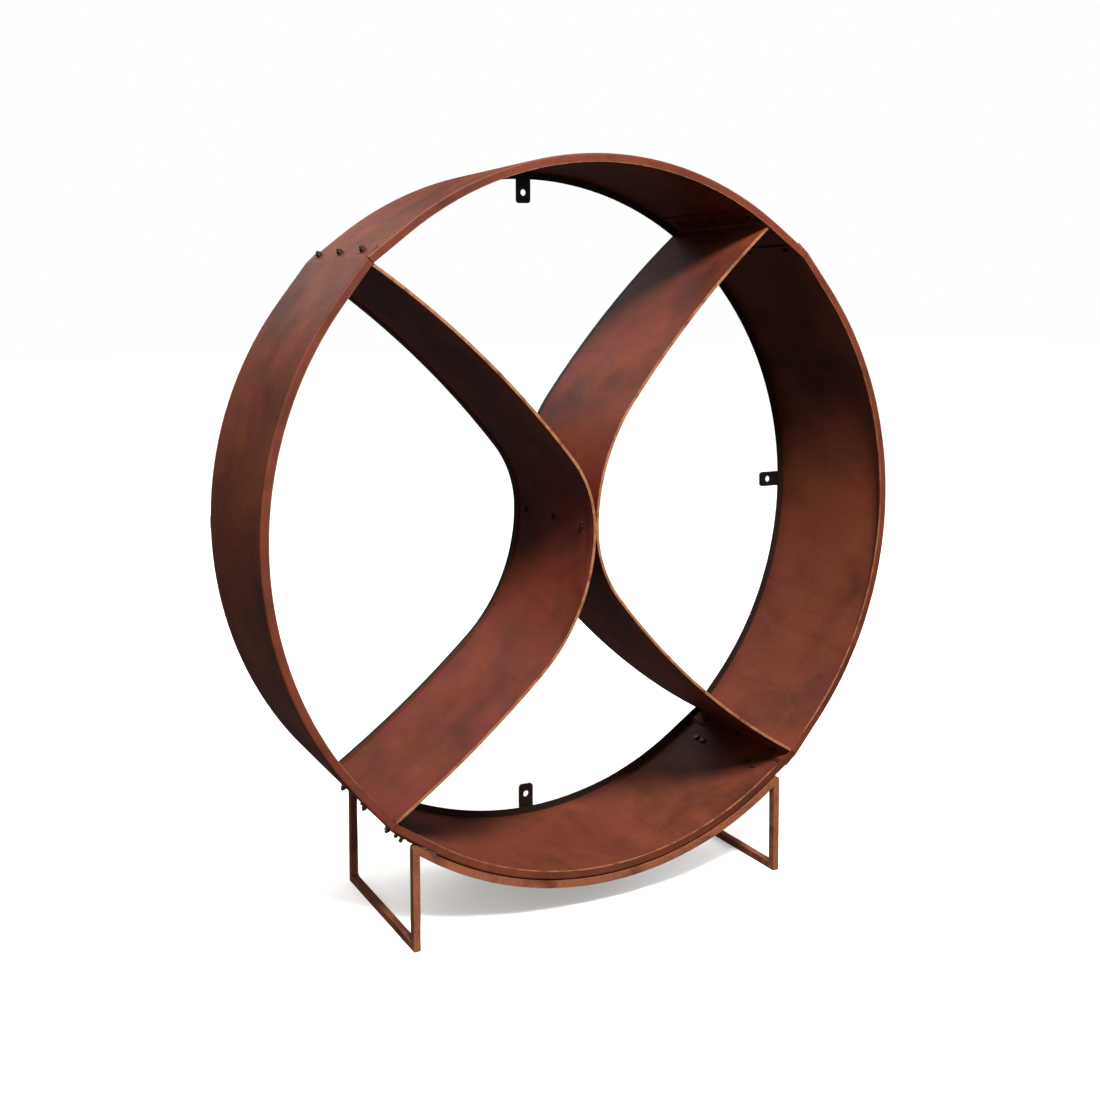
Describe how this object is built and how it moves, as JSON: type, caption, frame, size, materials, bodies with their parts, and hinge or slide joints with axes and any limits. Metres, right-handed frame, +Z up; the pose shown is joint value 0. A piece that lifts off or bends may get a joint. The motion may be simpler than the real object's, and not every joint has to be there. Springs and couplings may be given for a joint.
{
  "type": "firewood log rack",
  "caption": "Round free-standing firewood rack: a rolled sheet steel ring, parted into log compartments by curved dividers, on a low bar stand.",
  "frame": {"origin": "on the floor, under the middle of the rack", "axes": "+Z up, -Y out of the open front, +X to the right as seen from the front"},
  "size_m": [0.9999, 0.233, 1.05],
  "materials": {
    "ring_steel": "rusted, matt",
    "divider_steel": "rusted, satin",
    "stand_steel": "rusted, matt, with weld burns",
    "tab_steel": "blackened, satin",
    "fastener_steel": "rust-stained"
  },
  "bodies": {
    "root": {"bottom_left_joint_bolts": "fastener_steel", "bottom_left_joint_nuts": "fastener_steel", "bottom_left_joint_washers": "fastener_steel", "bottom_right_joint_bolts": "fastener_steel", "bottom_right_joint_nuts": "fastener_steel", "bottom_right_joint_washers": "fastener_steel", "bottom_segment": "ring_steel", "bottom_wall_tab": "tab_steel", "divider_contact_bolts": "fastener_steel", "divider_contact_nuts": "fastener_steel", "divider_contact_washers": "fastener_steel", "divider_foot_bolts": "fastener_steel", "divider_foot_nuts": "fastener_steel", "divider_foot_washers": "fastener_steel", "left_divider": "divider_steel", "left_segment": "ring_steel", "left_wall_tab": "tab_steel", "right_divider": "divider_steel", "right_segment": "ring_steel", "right_wall_tab": "tab_steel", "stand_bolts": "fastener_steel", "stand_front_bow": "stand_steel", "stand_front_left_lug": "stand_steel", "stand_front_left_upright": "stand_steel", "stand_front_right_lug": "stand_steel", "stand_front_right_upright": "stand_steel", "stand_left_floor_rail": "stand_steel", "stand_nuts": "fastener_steel", "stand_rear_bow": "stand_steel", "stand_rear_left_lug": "stand_steel", "stand_rear_left_upright": "stand_steel", "stand_rear_right_lug": "stand_steel", "stand_rear_right_upright": "stand_steel", "stand_right_floor_rail": "stand_steel", "stand_washers": "fastener_steel", "top_left_joint_bolts": "fastener_steel", "top_left_joint_nuts": "fastener_steel", "top_left_joint_washers": "fastener_steel", "top_right_joint_bolts": "fastener_steel", "top_right_joint_nuts": "fastener_steel", "top_right_joint_washers": "fastener_steel", "top_segment": "ring_steel", "top_wall_tab": "tab_steel"}
  },
  "joints": []
}
